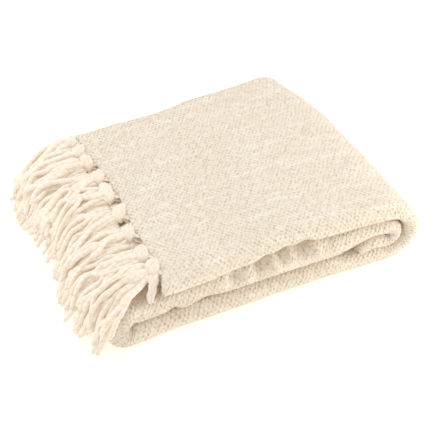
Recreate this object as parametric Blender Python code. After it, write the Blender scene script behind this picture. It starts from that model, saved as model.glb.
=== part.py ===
"""Folded chenille blanket with two rows of knotted tassels along one end.

The cloth is folded in four across its width. That bundle then runs over, under and back into itself
along its length, as a flat spiral of arms and turns. Lengths are in metres: +X along the front edge
from the tassels to the round folds, +Y to the back, +Z up.
"""

import math
from collections import namedtuple

import bmesh
import bpy
import numpy as np
from mathutils import Vector

COLLECTION = "chenille_blanket"

# Cloth
CLOTH_THICK = 0.006
PRESSED_GAP = 0.0009  # least air between two plies of a bundle
DEPTH = 0.322  # front fold to back edge of a bundle
SELVEDGE_STEP = 0.007  # the lower selvedge lies this far inside the upper one
NOSE = 1.25  # how much longer than high the outer front fold is
STACK_LENGTH = 0.42
LEFT_END_X = -0.022
OUTER_PLY = 1.5  # the four plies lie this many pitches above and below the centre line
INNER_PLY = 0.5

# Centre line of the bundle seen from the front, arm by arm in the order of the folds
Stop = namedtuple("Stop", "x z pitch")
CLOTH_END_X = 0.055
TOP_ARM = (
    Stop(CLOTH_END_X, 0.0835, 0.0078),
    Stop(0.0780, 0.0822, 0.0092),
    Stop(0.1600, 0.0843, 0.0087),
    Stop(0.2450, 0.0920, 0.0079),
    Stop(0.3680, 0.0938, 0.0069),
)
BOTTOM_ARM = (
    Stop(0.3680, 0.0147, 0.0078),
    Stop(0.0095, 0.0147, 0.0078),
)
MIDDLE_ARM = (
    Stop(0.0095, 0.0470, 0.0086),
    Stop(0.1400, 0.0475, 0.0088),
    Stop(0.2450, 0.0540, 0.0123),
    Stop(0.2900, 0.0540, 0.0127),
    Stop(0.3550, 0.0675, 0.0061),
    Stop(0.3690, 0.0675, 0.0061),
)
TUCKED_ARM = (
    Stop(0.3690, 0.0425, 0.0061),
    Stop(0.3550, 0.0425, 0.0058),
    Stop(0.3290, 0.0366, 0.0035),
)
TURN_PRESS = 0.2  # the plies lie this share closer in the middle of the big turn

# Steps along each arm and round each fold
TOP_STEPS = 9
BOTTOM_STEPS = 6
MIDDLE_STEPS = 12
TUCKED_STEPS = 3
BIG_TURN_STEPS = 9
LEFT_TURN_STEPS = 7
SMALL_TURN_STEPS = 7
PLY_YS = (0.290, 0.250, 0.200, 0.100)  # every ply bends at the same places, from back to front
OUTER_FOLD_STEPS = 6
HIDDEN_FOLD_STEPS = 4

SLOPE_STEP = 0.001

# How the stack has settled, as shifts that keep its layers in order
SHIFT_X = (0.0, 0.10, 0.20, 0.30, 0.42)
Level = namedtuple("Level", "z shifts")
FRONT_SHIFT = (
    Level(0.012, (-0.014, -0.010, -0.009, -0.011, -0.018)),
    Level(0.050, (-0.009, -0.006, -0.008, -0.014, -0.024)),
    Level(0.090, (-0.012, -0.012, -0.008, -0.016, -0.028)),
)
BACK_SHIFT = (-0.003, -0.006, -0.011, -0.008, -0.004)
BACK_CORNER_CUT = 0.035
BACK_CORNER_FROM = 0.64  # share of the depth where the far corner starts to round off
BACK_CORNER_TO = 1.25
FOOT_OUT = 0.014  # the foot of the left turn sticks out past its top
FOOT_TO_Z = 0.050
FOOT_TO_X = 0.070
TOE_IN = 0.002  # the foot of the big turn lies inside its top
TOE_TO_Z = 0.060
END_TAPER = 0.013  # the round end draws in by this much towards the back
CLOTH_END_Y = (0.0, 0.10, 0.20, 0.29)  # the tasselled end isn't quite straight
CLOTH_END_SHIFT = (-0.002, -0.003, 0.006, 0.001)
CLOTH_END_FROM, CLOTH_END_TO = 0.05, 0.13
CROWN = 0.02  # rise of the middle of the top as a share of the height
CROWN_FROM, CROWN_TO = 0.1, 0.6  # share of the length over which the crown rises
SURFACE_WAVE = 0.010  # unevenness of the layers as a share of their height
WAVES_ALONG = 4.1  # half waves
WAVES_ACROSS = 2.2
WAVE_SLANT = 1.7

# Tassels
Row = namedtuple("Row", "name root_z head_size sizes exit_size lanes layers paths knot_ys tip_from tip_to")
HEAD_CLEAR = 0.0003
STRAND_WIDE = 0.0041
LANE_FILL = 0.6  # a strand takes up no more than this share of its lane at the tips
STRAND_TIP = 0.7  # width of a strand's end as a share of its width
STRAND_STEPS = 4
HEAD_RINGS = ((0.30, 1.0), (0.75, 1.0), (1.0, 0.62))  # share of its length, share of its size
UPPER_KNOTS = (0.036, 0.066, 0.109, 0.148, 0.194, 0.228, 0.264, 0.289, 0.312)
LOWER_KNOTS = (0.051, 0.089, 0.128, 0.171, 0.211, 0.246, 0.277, 0.301)
UPPER_SIZES = (1.0, 1.0, 1.0, 1.0, 1.2, 1.0, 1.0, 0.85, 0.85)  # width of each head, as a share
LOWER_SIZES = (1.0, 1.0, 1.0, 1.0, 1.0, 1.0, 0.9, 0.9)
# Each layer of strands follows a curve of four points, x and z, from its head to its tip
UPPER_PATHS = (
    ((0.036, 0.0885), (0.010, 0.0850), (-0.030, 0.0800), (-0.038, 0.0250)),
    ((0.036, 0.0945), (0.006, 0.0970), (-0.034, 0.0890), (-0.042, 0.0390)),
)
LOWER_PATHS = (((0.036, 0.0755), (0.012, 0.0690), (-0.030, 0.0780), (-0.032, 0.0100)),)
UPPER_ROW = Row("tassel_upper", 0.0915, (0.018, 0.0255, 0.0145), UPPER_SIZES, (0.018, 0.010), 5, 2,
                UPPER_PATHS, UPPER_KNOTS, -0.008, 0.323)
LOWER_ROW = Row("tassel_lower", 0.0755, (0.018, 0.017, 0.0105), LOWER_SIZES, (0.013, 0.005), 5, 1,
                LOWER_PATHS, LOWER_KNOTS, 0.008, 0.317)
FAN_START = -0.25
TIP_CLEAR = 0.0005  # least height of a strand's underside
LENGTH_Y = (0.0, 0.1, 0.2, 0.3)
LENGTH_SHARE = (1.03, 1.00, 0.93, 0.97)  # length of the strands along the row, as a share
REACH_Y = (0.0, 0.05, 0.12, 0.25, 0.31)
REACH_OUT = (0.006, 0.011, 0.003, 0.011, 0.008)  # how much further out the tips reach along the row
TIP_SPREAD = (-0.20, 0.15, -0.05, 0.20, -0.14)  # uneven spacing of the tips in turn, in lanes
TIP_LENGTH = (0.0, 0.06, -0.05, 0.03, -0.08, 0.05, -0.02)  # uneven length, as a share, in turn
LAYER_TURNS = 3  # the next layer of strands starts this much further on in it

CLOTH_COLOUR = (0.86, 0.77, 0.62, 1.0)
YARN_COLOUR = (0.90, 0.82, 0.69, 1.0)
ROUGHNESS = 0.95


def clear_scene():
    for old in list(bpy.data.objects):
        bpy.data.objects.remove(old, do_unlink=True)


def smooth(value, start, end):
    """0 before start, 1 after end, an even S between."""
    share = np.clip((np.asarray(value, float) - start) / (end - start), 0.0, 1.0)
    return share * share * (3.0 - 2.0 * share)


def eased(value, stops, levels):
    """The levels at the stops, joined by even S curves."""
    result = np.full(np.shape(value), float(levels[0]))
    for i in range(len(stops) - 1):
        result += (levels[i + 1] - levels[i]) * smooth(value, stops[i], stops[i + 1])
    return result


def front_shift(x, z):
    """How far the front of the stack has moved to the back, at this place along it and height."""
    rows = [eased(x, SHIFT_X, level.shifts) for level in FRONT_SHIFT]
    shift = rows[0]
    for i in range(len(rows) - 1):
        shift = shift + (rows[i + 1] - rows[i]) * smooth(z, FRONT_SHIFT[i].z, FRONT_SHIFT[i + 1].z)
    return shift


def settle(points):
    """The neat stack's points as the real one lies. The floor stays flat."""
    x, y, z = np.asarray(points, float).T
    along = np.clip(x / STACK_LENGTH, 0.0, 1.0)
    across = np.clip(y / DEPTH, 0.0, 1.0)
    wave = np.sin(WAVES_ALONG * math.pi * along + WAVE_SLANT * across)
    wave = wave * np.sin(WAVES_ACROSS * math.pi * across)
    crown = CROWN * np.sin(math.pi * across) * smooth(along, CROWN_FROM, CROWN_TO)
    height = z * (1.0 + crown + SURFACE_WAVE * wave)
    shift = front_shift(x, z) + (eased(x, SHIFT_X, BACK_SHIFT) - front_shift(x, z)) * across
    end = np.interp(y, CLOTH_END_Y, CLOTH_END_SHIFT) * (1.0 - smooth(x, CLOTH_END_FROM, CLOTH_END_TO))
    corner = BACK_CORNER_CUT * smooth(across, BACK_CORNER_FROM, BACK_CORNER_TO)
    cut = (corner + END_TAPER * across) * along**2
    foot = FOOT_OUT * (1.0 - smooth(z, 0.0, FOOT_TO_Z)) * (1.0 - smooth(x, LEFT_END_X, FOOT_TO_X))
    toe = TOE_IN * (1.0 - smooth(z, 0.0, TOE_TO_Z)) * along**2
    return np.stack([x + end - cut - foot - toe, y + shift, height], -1)


def arm_stations(arm, steps):
    """One arm's stations: x and z of its centre line, pitch of its plies, x and z of its outward normal."""
    x = np.linspace(arm[0].x, arm[-1].x, steps + 1)
    way = 1.0 if arm[-1].x > arm[0].x else -1.0
    stops = [way * stop.x for stop in arm]
    heights = [stop.z for stop in arm]
    z = eased(way * x, stops, heights)
    pitch = eased(way * x, stops, [stop.pitch for stop in arm])
    ahead = eased(way * x + SLOPE_STEP, stops, heights)
    behind = eased(way * x - SLOPE_STEP, stops, heights)
    slope = (ahead - behind) / (2.0 * SLOPE_STEP)
    length = np.hypot(1.0, slope)
    return np.stack([x, z, pitch, -slope / length, way / length], -1)


def turn_stations(before, after, side, steps, press=0.0):
    """Half circle between the ends of two arms. Side is +1 at the right and -1 at the left."""
    start, end = before[-1], after[0]
    angle = np.linspace(0.0, math.pi, steps + 1)[1:-1]
    share = (1.0 - np.cos(angle)) / 2.0
    radius = (start[1] - end[1]) / 2.0
    x = start[0] + side * abs(radius) * np.sin(angle)
    z = start[1] + (end[1] - start[1]) * share
    pitch = (start[2] + (end[2] - start[2]) * share) * (1.0 - press * np.sin(angle))
    return np.stack([x, z, pitch, side * np.sin(angle), math.copysign(1.0, radius) * np.cos(angle)], -1)


def bundle_path():
    """Stations of the whole folded length, from the tasselled end to the tucked end."""
    top = arm_stations(TOP_ARM, TOP_STEPS)
    bottom = arm_stations(BOTTOM_ARM, BOTTOM_STEPS)
    middle = arm_stations(MIDDLE_ARM, MIDDLE_STEPS)
    tucked = arm_stations(TUCKED_ARM, TUCKED_STEPS)
    return np.concatenate([
        top,
        turn_stations(top, bottom, 1, BIG_TURN_STEPS, TURN_PRESS),
        bottom,
        turn_stations(bottom, middle, -1, LEFT_TURN_STEPS),
        middle,
        turn_stations(middle, tucked, 1, SMALL_TURN_STEPS),
        tucked,
    ])


def fold_line(centre, wide, high, start, end, steps):
    angle = np.radians(np.linspace(start, end, steps + 1))
    return np.stack([centre + wide * np.cos(angle), high * np.sin(angle)], -1)


def ply_line(to_front, level):
    y = np.array(PLY_YS if to_front else PLY_YS[::-1])
    return np.stack([y, np.full_like(y, level)], -1)


def section(pitch):
    """Closed outline of the four plies, in depth and height about the bundle's centre line."""
    thick = min(CLOTH_THICK, pitch - PRESSED_GAP)
    high, low = OUTER_PLY * pitch, INNER_PLY * pitch
    fold = NOSE * high + thick / 2.0
    back = DEPTH - thick / 2.0 - low
    lower_end = DEPTH - SELVEDGE_STEP
    line = np.concatenate([
        [(DEPTH, high)],
        ply_line(True, high),
        fold_line(fold, NOSE * high, high, 90.0, 270.0, OUTER_FOLD_STEPS),
        ply_line(False, -high),
        fold_line(back, low, low, -90.0, 90.0, HIDDEN_FOLD_STEPS) - (0.0, pitch),
        ply_line(True, -low),
        fold_line(fold, low, low, 270.0, 90.0, HIDDEN_FOLD_STEPS),
        ply_line(False, low),
        [(lower_end, low)],
    ])
    heading = np.gradient(line, axis=0)
    heading /= np.linalg.norm(heading, axis=1)[:, None]
    side = np.stack([-heading[:, 1], heading[:, 0]], -1) * thick / 2.0
    return np.concatenate([line + side, (line - side)[::-1]])


def loft(mesh, rings):
    """Closes a run of equal rings, each a folded ribbon outline, into one body."""
    rows = [[mesh.verts.new(point) for point in ring] for ring in rings]
    count = len(rows[0])
    for near, far in zip(rows, rows[1:]):
        for i in range(count):
            j = (i + 1) % count
            mesh.faces.new((near[i], near[j], far[j], far[i]))
    for row, flip in ((rows[0], True), (rows[-1], False)):
        for i in range(count // 2 - 1):
            corners = (row[i], row[i + 1], row[count - 2 - i], row[count - 1 - i])
            mesh.faces.new(corners[::-1] if flip else corners)


def make_material(name, colour):
    material = bpy.data.materials.new(name)
    material.use_nodes = True
    shader = material.node_tree.nodes["Principled BSDF"]
    shader.inputs["Base Color"].default_value = colour
    shader.inputs["Roughness"].default_value = ROUGHNESS
    return material


def add_object(name, mesh, material, parent, collection):
    bmesh.ops.recalc_face_normals(mesh, faces=mesh.faces)
    data = bpy.data.meshes.new(name)
    mesh.to_mesh(data)
    mesh.free()
    data.shade_smooth()
    data.materials.append(material)
    thing = bpy.data.objects.new(name, data)
    thing.parent = parent
    collection.objects.link(thing)
    return thing


def build_cloth():
    mesh = bmesh.new()
    rings = []
    for x, z, pitch, side_x, side_z in bundle_path():
        depth, level = section(pitch).T
        rings.append(settle(np.stack([x + level * side_x, depth, z + level * side_z], -1)))
    loft(mesh, rings)
    return mesh


def curve_point(path, share):
    """Point and heading of a four-point curve in the x-z plane."""
    a, b, c, d = (np.array(point) for point in path)
    rest = 1.0 - share
    point = a * rest**3 + 3.0 * b * rest**2 * share + 3.0 * c * rest * share**2 + d * share**3
    heading = (b - a) * rest**2 + 2.0 * (c - b) * rest * share + (d - c) * share**2
    return point, heading / np.linalg.norm(heading)


def fan(share):
    """How far a strand has moved from its root's y to its tip's, this far along it."""
    start = smooth(0.0, FAN_START, 1.0)
    return float((smooth(share, FAN_START, 1.0) - start) / (1.0 - start))


def strand_rings(path, root_y, tip_y, spread, root_size, tip_wide, length):
    """Square sections along one strand, from just past its head to its tip."""
    rings = []
    for step in range(1, STRAND_STEPS + 1):
        share = length * step / STRAND_STEPS
        (x, z), (head_x, head_z) = curve_point(path, share)
        x -= float(eased(tip_y, REACH_Y, REACH_OUT)) * share**2
        z = max(z, tip_wide / 2.0 + TIP_CLEAR)
        y = root_y + (tip_y - root_y) * fan(share) + spread * share**2
        grown = step / STRAND_STEPS
        wide = root_size[0] + (tip_wide - root_size[0]) * grown
        high = root_size[1] + (tip_wide - root_size[1]) * grown
        if step == STRAND_STEPS:
            wide *= STRAND_TIP
            high *= STRAND_TIP
        rings.append((np.array([x, y, z]), wide, high, np.array([head_z, 0.0, -head_x])))
    return rings


def round_ring(point, centre, wide, high):
    """The same direction from the centre, moved on to an ellipse."""
    y = (point[1] - centre[1]) / (wide / 2.0)
    z = (point[2] - centre[2]) / (high / 2.0)
    reach = math.hypot(y, z)
    return y / reach * wide / 2.0, z / reach * high / 2.0


def build_tassel(row, number):
    mesh = bmesh.new()
    knot_y = row.knot_ys[number]
    head_length, head_wide, head_high = row.head_size
    head_wide *= row.sizes[number]
    exit_wide, exit_high = row.exit_size
    exit_wide *= row.sizes[number]
    exit_x = CLOTH_END_X - HEAD_CLEAR - head_length
    bmesh.ops.create_grid(mesh, x_segments=row.lanes, y_segments=row.layers, size=0.5)
    centre = np.array([exit_x, knot_y, row.root_z])
    for vert in mesh.verts:
        vert.co = Vector((exit_x, knot_y + vert.co.x * exit_wide, row.root_z + vert.co.y * exit_high))
    exits = list(mesh.faces)
    edges = [edge for edge in mesh.edges if edge.is_boundary]
    middle_high = exit_high
    for share, size in HEAD_RINGS:
        made = bmesh.ops.extrude_edge_only(mesh, edges=edges)["geom"]
        edges = [item for item in made if isinstance(item, bmesh.types.BMEdge)]
        for vert in {vert for edge in edges for vert in edge.verts}:
            y, z = round_ring(vert.co, centre, exit_wide, middle_high)
            y *= size * head_wide / exit_wide
            z *= size * head_high / middle_high
            vert.co = Vector((exit_x + share * head_length, knot_y + y, row.root_z + z))
        exit_wide, middle_high = size * head_wide, size * head_high
    bmesh.ops.contextual_create(mesh, geom=edges)
    add_strands(mesh, row, number, exits)
    for vert in mesh.verts:
        vert.co = Vector(settle([vert.co])[0])
    return mesh


def tip_lanes(row, number):
    """Where the tips of a tassel start, halfway to the tassel before it, and how far apart they are."""
    halfway = [(near + far) / 2.0 for near, far in zip(row.knot_ys, row.knot_ys[1:])]
    edges = [row.tip_from, *halfway, row.tip_to]
    return edges[number], (edges[number + 1] - edges[number]) / row.lanes


def add_strands(mesh, row, number, exits):
    first_y, lane_wide = tip_lanes(row, number)
    exit_wide, exit_high = row.exit_size
    exit_wide *= row.sizes[number]
    root_size = (exit_wide / row.lanes, exit_high / row.layers)
    tip_wide = min(STRAND_WIDE, LANE_FILL * lane_wide)
    centres = [face.calc_center_median() for face in exits]
    for face, centre in zip(exits, centres):
        lane = int((centre.y - row.knot_ys[number] + exit_wide / 2.0) / root_size[0])
        layer = int((centre.z - row.root_z + exit_high / 2.0) / root_size[1])
        turn = number * row.lanes + lane
        tip_y = first_y + (lane + 0.5) * lane_wide
        spread = TIP_SPREAD[turn % len(TIP_SPREAD)] * lane_wide
        longer = TIP_LENGTH[(turn + LAYER_TURNS * layer) % len(TIP_LENGTH)]
        length = float(eased(tip_y, LENGTH_Y, LENGTH_SHARE)) + longer
        corners = [(loop.vert.co.y > centre.y, loop.vert.co.z > centre.z) for loop in face.loops]
        path = row.paths[layer]
        rings = strand_rings(path, centre.y, tip_y, spread, root_size, tip_wide, length)
        for point, wide, high, up in rings:
            face = bmesh.ops.extrude_discrete_faces(mesh, faces=[face])["faces"][0]
            for loop, (right, top) in zip(face.loops, corners):
                offset = up * high * (0.5 if top else -0.5)
                spot = point + offset
                loop.vert.co = Vector((spot[0], spot[1] + wide * (0.5 if right else -0.5), spot[2]))


def stand_at_origin(centre, things):
    """Moves the parent so that the middle of the whole box's underside is the origin."""
    points = np.array([vert.co for thing in things for vert in thing.data.vertices])
    low, high = points.min(axis=0), points.max(axis=0)
    centre.location = (-(low[0] + high[0]) / 2.0, -(low[1] + high[1]) / 2.0, -low[2])


def main():
    clear_scene()
    collection = bpy.data.collections.new(COLLECTION)
    bpy.context.scene.collection.children.link(collection)
    centre = bpy.data.objects.new("stack_centre", None)
    collection.objects.link(centre)
    cloth = make_material("cloth", CLOTH_COLOUR)
    yarn = make_material("yarn", YARN_COLOUR)
    things = [add_object("blanket", build_cloth(), cloth, centre, collection)]
    for row in (UPPER_ROW, LOWER_ROW):
        for number in range(len(row.knot_ys)):
            tassel = build_tassel(row, number)
            things.append(add_object(f"{row.name}_{number + 1}", tassel, yarn, centre, collection))
    stand_at_origin(centre, things)


main()
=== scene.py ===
"""Dresses the folded chenille blanket: the woven cloth on its folds, the knotted fringe, light and camera.

Lengths are in metres. The folds are worked out in the stack's own coordinates, +X along the front edge
from the fringe, +Y to the back and +Z up, and then moved into the frame of the CAD model.
"""

import math
import random
from collections import namedtuple

import bpy
import numpy as np
from mathutils import Matrix, Vector, noise


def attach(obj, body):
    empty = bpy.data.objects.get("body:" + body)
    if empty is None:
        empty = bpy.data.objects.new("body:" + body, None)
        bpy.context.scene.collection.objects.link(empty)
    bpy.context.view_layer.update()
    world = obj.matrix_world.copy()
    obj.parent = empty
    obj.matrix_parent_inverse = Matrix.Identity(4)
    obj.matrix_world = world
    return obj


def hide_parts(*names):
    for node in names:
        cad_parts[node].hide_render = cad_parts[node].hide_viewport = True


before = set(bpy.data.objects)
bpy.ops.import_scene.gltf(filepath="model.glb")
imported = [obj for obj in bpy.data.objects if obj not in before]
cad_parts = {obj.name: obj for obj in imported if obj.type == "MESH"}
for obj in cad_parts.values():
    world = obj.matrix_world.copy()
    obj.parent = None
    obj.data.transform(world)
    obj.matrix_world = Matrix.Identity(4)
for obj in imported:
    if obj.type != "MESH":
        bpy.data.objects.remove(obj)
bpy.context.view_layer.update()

FULL_TURN = 2.0 * math.pi
TINY = 1e-9  # keeps a division by a length safe

# The middle of the whole box, in the stack's own coordinates
ORIGIN = (0.17539, 0.14635, 0.0)

# Cloth
CLOTH_THICK = 0.006
PRESSED_GAP = 0.0009  # room left between two plies where they are pressed
DEPTH = 0.322
SELVEDGE_STEP = 0.007  # one selvedge lies this far inside the other
NOSE = 1.25  # the fold along the front is this many times as wide as high
STACK_LENGTH = 0.42
LEFT_END_X = -0.022
OUTER_PLY, INNER_PLY = 1.5, 0.5  # pitches from the bundle's centre line to the plies
EDGE_ROUND = 0.004  # the cloth thins out this close to its selvedges and hems
EDGE_THIN = 0.3  # to this share of its thickness

# Centre line of the bundle seen from the front, arm by arm in the order of the folds
Stop = namedtuple("Stop", "x z pitch")
CLOTH_END_X = 0.055
TOP_ARM = (
    Stop(CLOTH_END_X, 0.0835, 0.0078),
    Stop(0.0780, 0.0822, 0.0092),
    Stop(0.1600, 0.0843, 0.0087),
    Stop(0.2450, 0.0920, 0.0079),
    Stop(0.3680, 0.0938, 0.0069),
)
BOTTOM_ARM = (
    Stop(0.3680, 0.0147, 0.0078),
    Stop(0.0095, 0.0147, 0.0078),
)
MIDDLE_ARM = (
    Stop(0.0095, 0.0470, 0.0086),
    Stop(0.1400, 0.0475, 0.0088),
    Stop(0.2450, 0.0540, 0.0123),
    Stop(0.2900, 0.0540, 0.0127),
    Stop(0.3550, 0.0675, 0.0061),
    Stop(0.3690, 0.0675, 0.0061),
)
TUCKED_ARM = (
    Stop(0.3690, 0.0425, 0.0061),
    Stop(0.3550, 0.0425, 0.0058),
    Stop(0.3290, 0.0366, 0.0035),
)
TURN_PRESS = 0.2  # the plies lie this share closer in the middle of the big turn

# Steps along each arm, round each fold and across each ply
TOP_STEPS = 92
BOTTOM_STEPS = 50
MIDDLE_STEPS = 116
TUCKED_STEPS = 10
BIG_TURN_STEPS = 34
LEFT_TURN_STEPS = 20
SMALL_TURN_STEPS = 18
OUTER_PLY_STEPS = 56
LOWER_PLY_STEPS = 20
HIDDEN_PLY_STEPS = 10
OUTER_FOLD_STEPS = 18
HIDDEN_FOLD_STEPS = 6
SLOPE_STEP = 0.001

# How the stack has settled: moves of the front and the back towards the back, at places along the stack
SHIFT_X = (0.0, 0.10, 0.20, 0.30, 0.42)
Level = namedtuple("Level", "z shifts")
FRONT_SHIFT = (
    Level(0.012, (-0.014, -0.010, -0.009, -0.011, -0.018)),
    Level(0.050, (-0.009, -0.006, -0.008, -0.014, -0.024)),
    Level(0.090, (-0.012, -0.012, -0.008, -0.016, -0.028)),
)
BACK_SHIFT = (-0.003, -0.006, -0.011, -0.008, -0.004)
BACK_CORNER_CUT = 0.035  # the far corner is rounded off
BACK_CORNER_FROM, BACK_CORNER_TO = 0.64, 1.25
END_TAPER = 0.013  # the stack is this much shorter at the back
FOOT_OUT = 0.014  # the left fold sticks out at its foot
FOOT_TO_Z = 0.050
FOOT_TO_X = 0.070
TOE_IN = 0.002  # the right fold draws in at its foot
TOE_TO_Z = 0.060
CLOTH_END_Y = (0.0, 0.10, 0.20, 0.29)
CLOTH_END_SHIFT = (-0.002, -0.003, 0.006, 0.001)  # the tasselled end isn't quite straight
CLOTH_END_FROM, CLOTH_END_TO = 0.05, 0.13
CORNER_OUT = 0.011  # the front corner of the tasselled end reaches out and droops
CORNER_DROP = 0.005
CORNER_X = (0.020, 0.050, 0.060, 0.180)  # it starts, is full, fades and ends at these places
CORNER_Y = 0.030
CORNER_FROM_Z, CORNER_TO_Z = 0.063, 0.069
CROWN = 0.02  # the stack is this share higher in the middle of its depth
CROWN_FROM, CROWN_TO = 0.1, 0.6
SURFACE_WAVE = 0.010  # size of its soft waves, as a share of the height
WAVES_ALONG = 4.1
WAVES_ACROSS = 2.2
WAVE_SLANT = 1.7

# Folds pressed into the front faces: middle and half size along X and Z, slant, push to the back
Crease = namedtuple("Crease", "x z half_x half_z slant push")
CREASES = (
    Crease(0.148, 0.057, 0.010, 0.008, 0.3, 0.0130),
    Crease(0.186, 0.064, 0.009, 0.011, 0.3, 0.0190),
    Crease(0.204, 0.056, 0.007, 0.012, -0.2, -0.0050),
    Crease(0.217, 0.072, 0.007, 0.010, 0.2, 0.0180),
    Crease(0.230, 0.064, 0.006, 0.012, 0.2, -0.0040),
    Crease(0.245, 0.073, 0.010, 0.012, 0.2, 0.0210),
    Crease(0.264, 0.066, 0.007, 0.012, -0.3, -0.0050),
    Crease(0.280, 0.070, 0.008, 0.009, 0.3, 0.0050),
    Crease(0.225, 0.040, 0.050, 0.006, 0.0, -0.0030),
    Crease(0.110, 0.039, 0.012, 0.006, 0.0, 0.0040),
    Crease(0.080, 0.041, 0.009, 0.008, 0.0, -0.0025),
    Crease(0.062, 0.034, 0.006, 0.007, 0.0, 0.0090),
    Crease(0.010, 0.040, 0.005, 0.016, 0.4, 0.0035),
    Crease(0.030, 0.046, 0.006, 0.014, 0.3, 0.0025),
    Crease(0.130, 0.014, 0.030, 0.010, 0.0, -0.0015),
    Crease(0.320, 0.090, 0.030, 0.012, 0.0, -0.0015),
)
CREASE_REACH = 0.10  # the creases die out this far behind the front

# The cloth's soft unevenness, over a few centimetres and over its yarns. None of it on the floor
Uneven = namedtuple("Uneven", "size along across slice")
UNEVEN = (
    Uneven(0.0012, 24.0, 30.0, 3.0),
    Uneven(0.0005, 150.0, 120.0, 9.0),
)
UNEVEN_FROM_Z, UNEVEN_TO_Z = 0.0005, 0.006

# Tassels. A row's paths run from the knots to the tips, as X and Z: one path below and one above
Row = namedtuple("Row", "name root_z head clumps yarns paths knots tip_from tip_to")
Knot = namedtuple("Knot", "y out size")  # place along the row, how far out it lies, width as a share
UPPER_ROW = Row(
    name="fringe_upper",
    root_z=0.0925,
    head=(0.0090, 0.0152, 0.0100),
    clumps=5,
    yarns=4,
    paths=(
        ((0.040, 0.0880), (0.010, 0.0850), (-0.030, 0.0800), (-0.036, 0.0250)),
        ((0.040, 0.0945), (0.004, 0.0975), (-0.033, 0.0900), (-0.040, 0.0400)),
    ),
    knots=(
        Knot(0.036, 0.000, 0.95),
        Knot(0.066, 0.002, 1.0),
        Knot(0.109, 0.001, 1.0),
        Knot(0.148, 0.000, 1.0),
        Knot(0.194, 0.005, 1.35),
        Knot(0.228, 0.001, 0.9),
        Knot(0.264, 0.001, 1.0),
        Knot(0.289, 0.000, 0.80),
        Knot(0.312, 0.003, 0.75),
    ),
    tip_from=-0.006,
    tip_to=0.324,
)
LOWER_ROW = Row(
    name="fringe_lower",
    root_z=0.0805,
    head=(0.0078, 0.0112, 0.0068),
    clumps=5,
    yarns=4,
    paths=(
        ((0.040, 0.0790), (0.008, 0.0830), (-0.028, 0.0780), (-0.031, 0.0080)),
        ((0.040, 0.0840), (0.006, 0.0900), (-0.031, 0.0850), (-0.036, 0.0160)),
    ),
    knots=(
        Knot(0.051, 0.001, 0.9),
        Knot(0.094, 0.008, 1.0),
        Knot(0.128, 0.002, 0.9),
        Knot(0.171, 0.003, 0.9),
        Knot(0.211, 0.002, 0.9),
        Knot(0.246, 0.002, 0.9),
        Knot(0.277, 0.001, 0.8),
        Knot(0.301, 0.001, 0.8),
    ),
    tip_from=-0.002,
    tip_to=0.318,
)
REACH_Y = (-0.020, 0.010, 0.05, 0.12, 0.25, 0.31)
REACH_OUT = (0.000, 0.009, 0.013, 0.005, 0.009, 0.004)  # how much further out the tips reach along the row
LENGTH_Y = (-0.01, 0.05, 0.1, 0.2, 0.3)
LENGTH_SHARE = (0.95, 1.01, 0.99, 0.95, 0.94)  # length of the yarns along the row, as a share of the path
FAR_DROP = 0.012  # the tassels at the back hang lower
FAR_FROM, FAR_TO = 0.22, 0.31
DROP_FROM, DROP_TO = 0.1, 0.6  # along a yarn
TIP_LIMITS = (-0.004, 0.308)  # no tip lies further to the front or back than this
ROOT_SPREAD = 1.3  # width of the clumps' roots, in half widths of the knot
TIP_SPREAD = 1.15  # width of their tips, in shares of the tassel's room along the row
TIP_STRAY = 0.004
UPPER_CLUMP = 0.75  # every other clump lies this share of the way to the upper path
CLUMP_STRAY = 0.3
FLOOR_CLEAR = 0.0006
SEEDS = (0.0, 5.0)  # where a yarn's material starts along it

# Yarns of a clump. Pairs are the least and the most of a random draw
YARN_RADIUS = 0.0036
YARN_SIZES = (0.86, 1.14)
YARN_SIDES = 8
YARN_STEPS = 18
STEEP = 0.2  # a yarn that starts as upright as this takes its side from Y
YARN_WAVES = ((0.08, 21.0), (0.05, 43.0))  # how much a yarn's thickness varies, and how fast
ROOT_THIN = 0.7
TIP_SWELL = 1.12
TIP_THIN = (0.6, 0.8)
YARN_LONGER = (-0.13, 0.04)
YARN_LEAN = 0.006
CLUMP_RADIUS = 0.0042
CLUMP_SIZES = (0.8, 1.2)
CLUMP_TIGHT, CLUMP_LOOSE = 0.7, 1.7  # width of a clump at its root and at its tips, in its radius
CLUMP_OPENING = 1.5  # power of its opening
CLUMP_FLAT = 0.75  # its height as a share of its width
CLUMP_LONGER = (-0.05, 0.03)
CLUMP_LIFT = (-0.0015, 0.0035)
CLUMP_TWIST = (1.5, 4.0)
CLUMP_LEAN = 0.011  # how far a clump's tips lean aside
FAN_FROM = -0.25  # the yarns fan out from the start
STRAY_SHARE = 0.18  # share of the yarns that lie across the others
STRAY_TO_Y = 0.27  # none of them in the tassels at the back
STRAY_LEAN = 0.024
STRAY_LIFT = 0.2
SWAY_SIDE, SWAY_UP = 0.0036, 0.0017
SWAY_WAVES = (0.7, 1.6, 3.1)
SWAY_GROWN = 0.5

# Yarns that come out of the cloth's end and gather at the knots, in two layers
GATHER_YARNS = 8
GATHER_STEPS = 6
GATHER_LAYERS = (0.0, 1.0)
GATHER_RADIUS = 0.0021
GATHER_SIZES = (0.85, 1.15)
GATHER_SPREAD = 0.44  # share of the tassel's room along the end that they come from, to each side
GATHER_CLOSE = 0.5  # they meet within this share of the knot's half width
GATHER_INSIDE = 0.002  # they start this far inside the cloth's end
GATHER_FROM, GATHER_TO = 0.018, 0.317
GATHER_BEND, GATHER_GROWN = -0.3, 0.4
GATHER_RISE = 0.0012
GATHER_DROP = 0.0070
GATHER_STRAY = 0.0008
GATHER_PULL, GATHER_WIDE = 0.0022, 0.008  # how the knots draw out the cloth's end
GATHER_X = (0.020, 0.050, 0.055, 0.080)  # the pull starts, is full, fades and ends at these places

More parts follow.
